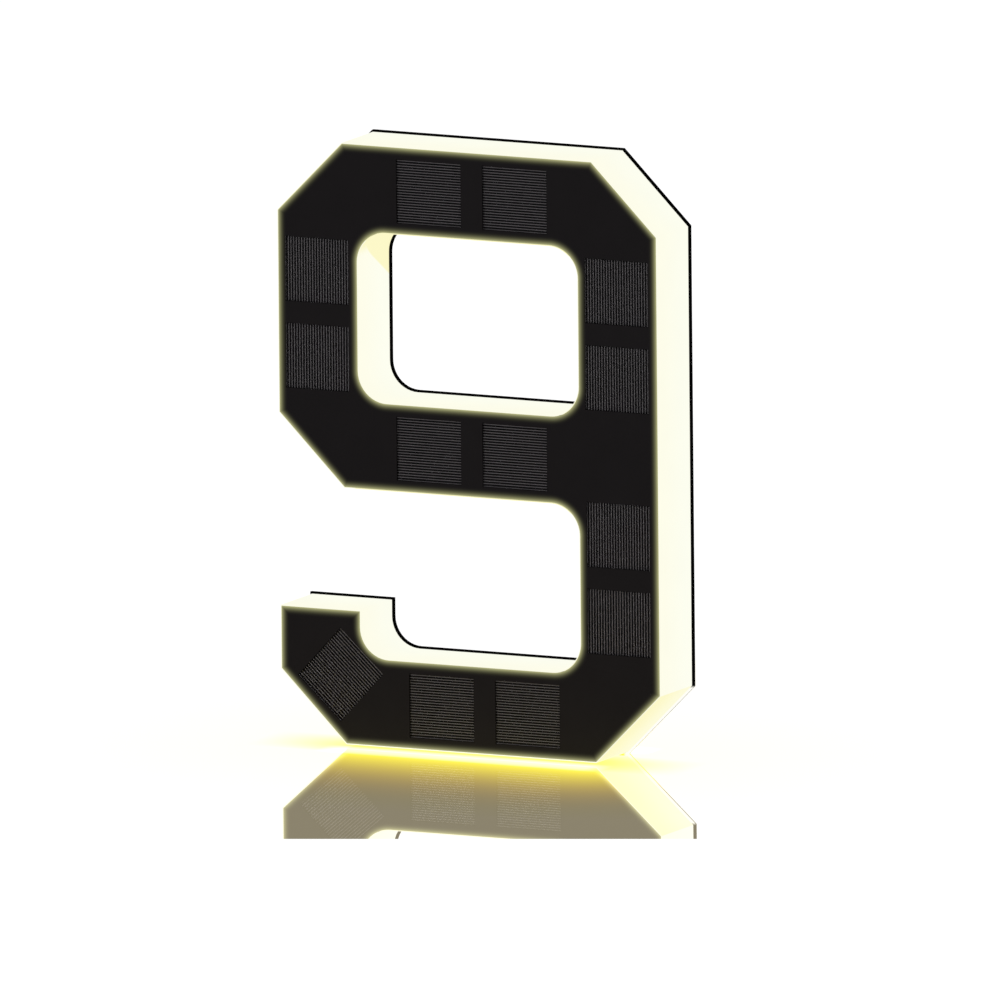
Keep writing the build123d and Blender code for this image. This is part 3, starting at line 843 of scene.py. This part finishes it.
class SIGN_OT_solar_cells(SignOperator):
    """Dresses the silicon cells and prints the fine lines on them"""

    bl_idname = "sign.solar_cells"
    bl_label = "Solar cells"

    def execute(self, context):
        lines = context.scene.sign_fingers
        colours = context.scene.sign_colours
        dress(cell_finish(colours), *[f"solar_cell_{cell}" for cell in CELLS])
        fields = []
        for cell, centre, along, across, *measures in lines.fields():
            front_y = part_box(f"solar_cell_{cell}")[0].y
            depths = front_y - lines.height, front_y
            fields.append(bars(centre, along, across, lines.count, *measures, *depths))
        vertices, faces = joined(fields)
        paste = finger_finish(colours)
        outward(piece("cell_lines", vertices, faces, paste, "housing"))
        return {"FINISHED"}


class SIGN_OT_back_plate(SignOperator):
    """Dresses the back plate and the seals under it"""

    bl_idname = "sign.back_plate"
    bl_label = "Back plate"

    def execute(self, context):
        scene = context.scene
        dress(plate_finish(scene.sign_figure, scene.sign_colours), "back_plate")
        look = {"size": 0.3, "depth": 0.01, "rough": 0.6, "Specular_IOR_Level": 0.3}
        dress(moulded_finish("seal", scene.sign_parts.seal, **look), "seal_outer", "seal_counter")
        return {"FINISHED"}


class SIGN_OT_screws(SignOperator):
    """Dresses the screws of the plate and of the board"""

    bl_idname = "sign.screws"
    bl_label = "Screws"

    def execute(self, context):
        steel = metal_finish("steel_screw", context.scene.sign_parts.steel)
        dress(steel, "cover_screws", "board_screws")
        return {"FINISHED"}


class SIGN_OT_lamp_board(SignOperator):
    """Dresses the white board and its LEDs"""

    bl_idname = "sign.lamp_board"
    bl_label = "LED board"

    def execute(self, context):
        parts = context.scene.sign_parts
        dress(board_finish("white_board", parts.led_board, 0.006 * MM), "led_board")
        lamps = [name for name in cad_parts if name.startswith("led_") and name != "led_board"]
        dress(led_finish(parts), *lamps)
        return {"FINISHED"}


class SIGN_OT_battery(SignOperator):
    """Dresses the battery, its tape, its connector and all four leads"""

    bl_idname = "sign.battery"
    bl_label = "Battery and leads"

    def execute(self, context):
        parts = context.scene.sign_parts
        foil = metal_finish("battery_foil", parts.foil, rough=0.36, stretch=(0.15, 1.0, 1.0))
        dress(foil, "battery")
        foam = moulded_finish("foam_tape", parts.foam, size=0.35, depth=0.05, rough=0.85)
        dress(foam, "battery_tape")
        socket = moulded_finish("connector", parts.connector, size=0.3, depth=0.01, rough=0.45)
        dress(socket, "battery_connector")
        sleeve = {"size": 0.4, "depth": 0.006, "rough": 0.4}
        red = moulded_finish("red_wire", parts.red_wire, **sleeve)
        black = moulded_finish("black_wire", parts.black_wire, **sleeve)
        dress(red, "battery_wire_red", "panel_wire_red")
        dress(black, "battery_wire_black", "panel_wire_black")
        return {"FINISHED"}


class SIGN_OT_circuit(SignOperator):
    """Dresses the charging circuit"""

    bl_idname = "sign.circuit"
    bl_label = "Charging circuit"

    def execute(self, context):
        parts = context.scene.sign_parts
        chip = moulded_finish("chip", parts.chip, size=0.15, depth=0.008, rough=0.6)
        dress(chip, "charge_controller", "sense_resistors")
        ferrite = moulded_finish("ferrite", parts.ferrite, size=0.2, depth=0.015, rough=0.55)
        dress(ferrite, "boost_inductor")
        dress(metal_finish("capacitor_can", parts.can, rough=0.28), "storage_capacitor")
        return {"FINISHED"}


class SIGN_OT_button(SignOperator):
    """Dresses the button in the back plate and the switch behind it"""

    bl_idname = "sign.button"
    bl_label = "Button and switch"

    def execute(self, context):
        parts = context.scene.sign_parts
        rubber = moulded_finish("button_rubber", parts.button, size=0.3, depth=0.012, rough=0.62)
        dress(rubber, "power_button")
        shell = moulded_finish("switch_shell", parts.switch, size=0.2, depth=0.01, rough=0.5)
        dress(shell, "switch_body")
        stem = moulded_finish("switch_plunger", parts.plunger, size=0.2, depth=0.008, rough=0.45)
        dress(stem, "switch_plunger")
        return {"FINISHED"}


class SIGN_OT_stage(SignOperator):
    """Sets the floor, the world, the lamps and the camera"""

    bl_idname = "sign.stage"
    bl_label = "Studio"

    def view(self, sizes):
        """The camera's turn: its columns are the view's right, its up and the way to the camera."""
        turn = Matrix.Rotation(sizes.view_turn, 4, "Z")
        rise = Matrix.Rotation(np.pi / 2 - sizes.view_rise, 4, "X")
        return turn @ rise @ Matrix.Rotation(sizes.view_roll, 4, "Z")

    def floor(self, sizes):
        """A plain white floor, just under the sign's foot."""
        half = sizes.floor_half
        corners = np.array([(-half, -half, 0), (half, -half, 0), (half, half, 0), (-half, half, 0)])
        mesh = bpy.data.meshes.new("floor")
        mesh.from_pydata((corners - (0, 0, 0.01 * MM)).tolist(), [], [(0, 1, 2, 3)])
        mesh.materials.append(self.floor_finish(sizes))
        made = bpy.data.objects.new("floor", mesh)
        bpy.context.scene.collection.objects.link(made)

    def floor_finish(self, sizes):
        """White, with a polished square under the sign. The square's sides lie level and upright in
        the view. It mirrors the sign over a dim warm ground and adds the light of the foot."""
        finish = Finish("floor")
        x, y, _ = finish.split(finish.place())
        up = self.view(sizes).col[1].xy.normalized()
        edge = abs(x * up.y - y * up.x).most(abs(x * up.x + y * up.y))
        polish = 1.0 - edge.rise(sizes.mirror_half, sizes.mirror_half + sizes.mirror_fade)
        out_x = (abs(x) - sizes.foot_half).most(0.0)
        out_y = (abs(y) - BODY_HIGH.y).most(0.0)
        ground = finish.summed(sizes.ground, self.foot_light(finish, out_x, out_y, sizes))
        tilt = np.sin(sizes.mirror_tilt)
        facing = {0: -up.x * tilt, 1: -up.y * tilt, 2: np.cos(sizes.mirror_tilt)}
        gloss_inputs = {
            "Color": self.mirror_tint(finish, out_x, y, sizes),
            "Roughness": 0.004,
            "Normal": finish.node("ShaderNodeCombineXYZ", inputs=facing),
        }
        gloss = finish.node("ShaderNodeBsdfGlossy", inputs=gloss_inputs)
        lit = finish.node("ShaderNodeEmission", inputs={"Color": ground, "Strength": 1.0})
        polished = finish.node("ShaderNodeAddShader", inputs={0: gloss, 1: lit})
        grey = {"Color": (*[sizes.floor_grey] * 3, 1.0)}
        matt = finish.node("ShaderNodeBsdfDiffuse", inputs=grey)
        pale = {"Color": (*[sizes.floor_white] * 3, 1.0), "Strength": 1.0}
        white = finish.node("ShaderNodeEmission", inputs=pale)
        plain = finish.node("ShaderNodeAddShader", inputs={0: matt, 1: white})
        both = finish.node("ShaderNodeMixShader", inputs={0: polish, 1: plain, 2: polished})
        finish.node("ShaderNodeOutputMaterial", inputs={"Surface": both})
        return finish.material

    def foot_light(self, finish, out_x, out_y, sizes):
        """Light of the foot on the square, which falls off with powers of the nearness to it: red
        and green, less a little blue. A pale line beside the foot gets blue back: a parabola of the
        distance in front, which ends a little past the foot's ends."""
        near = (1.0 - (out_x * out_x + out_y * out_y) ** 0.5 / sizes.pool_reach).most(0.0)
        gleam = (1.0 - ((out_y - sizes.gleam_y) / sizes.gleam_w) ** 2.0).most(0.0)
        gleam = gleam * (1.0 - out_x / sizes.gleam_w).most(0.0)
        light = {
            0: near**sizes.pool_red_fall * sizes.pool_red,
            1: near**sizes.pool_green_fall * sizes.pool_green,
            2: gleam * sizes.gleam_blue - near * sizes.pool_blue,
        }
        return finish.node("ShaderNodeCombineXYZ", inputs=light)

    def mirror_tint(self, finish, out_x, y, sizes):
        """Colour of what the square mirrors. Under the cut corners, the body's light takes blue
        from it: less with the distance from the foot's ends, and as a parabola across."""
        aside = ((y + sizes.streak_y) / sizes.streak_w) ** 2.0
        streak = (1.0 - out_x / sizes.streak_l).most(0.0) * (1.0 - aside).most(0.0)
        yellow = [sizes.mirror * part for part in sizes.streak_tint]
        return finish.mix(streak, [sizes.mirror] * 3, yellow)

    def world(self, sizes):
        """White for the camera and in reflections, a plain ambient light for everything else."""
        world = bpy.data.worlds.new("studio")
        world.use_nodes = True
        bpy.context.scene.world = world
        nodes = Nodes(world.node_tree)
        path = nodes.node("ShaderNodeLightPath").socket.node.outputs
        seen = Wire(nodes, path["Is Camera Ray"]).most(Wire(nodes, path["Is Glossy Ray"]))
        seen = seen.most(Wire(nodes, path["Is Transmission Ray"]))
        strength = sizes.ambient + seen * (1.0 - sizes.ambient)
        inputs = {"Color": (1.0, 1.0, 1.0, 1.0), "Strength": strength}
        sky = nodes.node("ShaderNodeBackground", inputs=inputs)
        nodes.node("ShaderNodeOutputWorld", inputs={"Surface": sky})

    def lamp(self, name, watts, spot):
        """A square area lamp that points at the sign's middle."""
        data = bpy.data.lights.new(name, "AREA")
        data.energy = watts
        data.size = LAMP_SIDE
        made = bpy.data.objects.new(name, data)
        made.location = spot
        target = Vector((0.0, 0.0, PANEL_HIGH.z / 2))
        made.rotation_euler = (target - Vector(spot)).to_track_quat("-Z", "Y").to_euler()
        bpy.context.scene.collection.objects.link(made)

    def camera(self, sizes):
        """A parallel camera that looks from the front right and a little from above."""
        data = bpy.data.cameras.new("camera")
        data.type = "ORTHO"
        data.ortho_scale = sizes.view_w
        made = bpy.data.objects.new("camera", data)
        turned = self.view(sizes)
        aim = Vector((sizes.aim_x, PANEL_FRONT_Y, sizes.aim_z))
        place = aim + turned.col[2].to_3d() * sizes.camera_far
        made.matrix_world = Matrix.Translation(place) @ turned
        bpy.context.scene.collection.objects.link(made)
        bpy.context.scene.camera = made

    def execute(self, context):
        sizes = context.scene.sign_stage
        self.floor(sizes)
        self.world(sizes)
        for name, spot in LAMP_SPOTS.items():
            self.lamp(name, getattr(sizes, f"{name}_power"), spot)
        self.camera(sizes)
        context.scene.view_settings.view_transform = "Standard"
        return {"FINISHED"}


class SIGN_PT_panel(bpy.types.Panel):
    """Lists the sign's operators and sizes"""

    bl_idname = "SIGN_PT_panel"
    bl_label = "House number"
    bl_space_type = "VIEW_3D"
    bl_region_type = "UI"
    bl_category = "House number"

    def draw(self, context):
        for operator in OPERATORS:
            self.layout.operator(operator.bl_idname)
        for attribute in GROUPS:
            settings = getattr(context.scene, attribute)
            column = self.layout.column(heading=attribute)
            for name in settings.__annotations__:
                column.prop(settings, name)


GROUPS = {
    "sign_figure": FigureSizes,
    "sign_fingers": FingerSizes,
    "sign_colours": SignColours,
    "sign_parts": PartColours,
    "sign_stage": StageSizes,
}
OPERATORS = (
    SIGN_OT_light_body,
    SIGN_OT_front_panel,
    SIGN_OT_solar_cells,
    SIGN_OT_back_plate,
    SIGN_OT_screws,
    SIGN_OT_lamp_board,
    SIGN_OT_battery,
    SIGN_OT_circuit,
    SIGN_OT_button,
    SIGN_OT_stage,
)


def register():
    for made in (*GROUPS.values(), *OPERATORS, SIGN_PT_panel):
        bpy.utils.register_class(made)
    for attribute, group in GROUPS.items():
        setattr(bpy.types.Scene, attribute, bpy.props.PointerProperty(type=group))


def unregister():
    for attribute in GROUPS:
        delattr(bpy.types.Scene, attribute)
    for made in reversed((*GROUPS.values(), *OPERATORS, SIGN_PT_panel)):
        bpy.utils.unregister_class(made)


def main():
    """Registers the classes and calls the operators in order."""
    register()
    for operator in OPERATORS:
        group, call = operator.bl_idname.split(".")
        getattr(getattr(bpy.ops, group), call)()


if __name__ == "__main__":
    main()
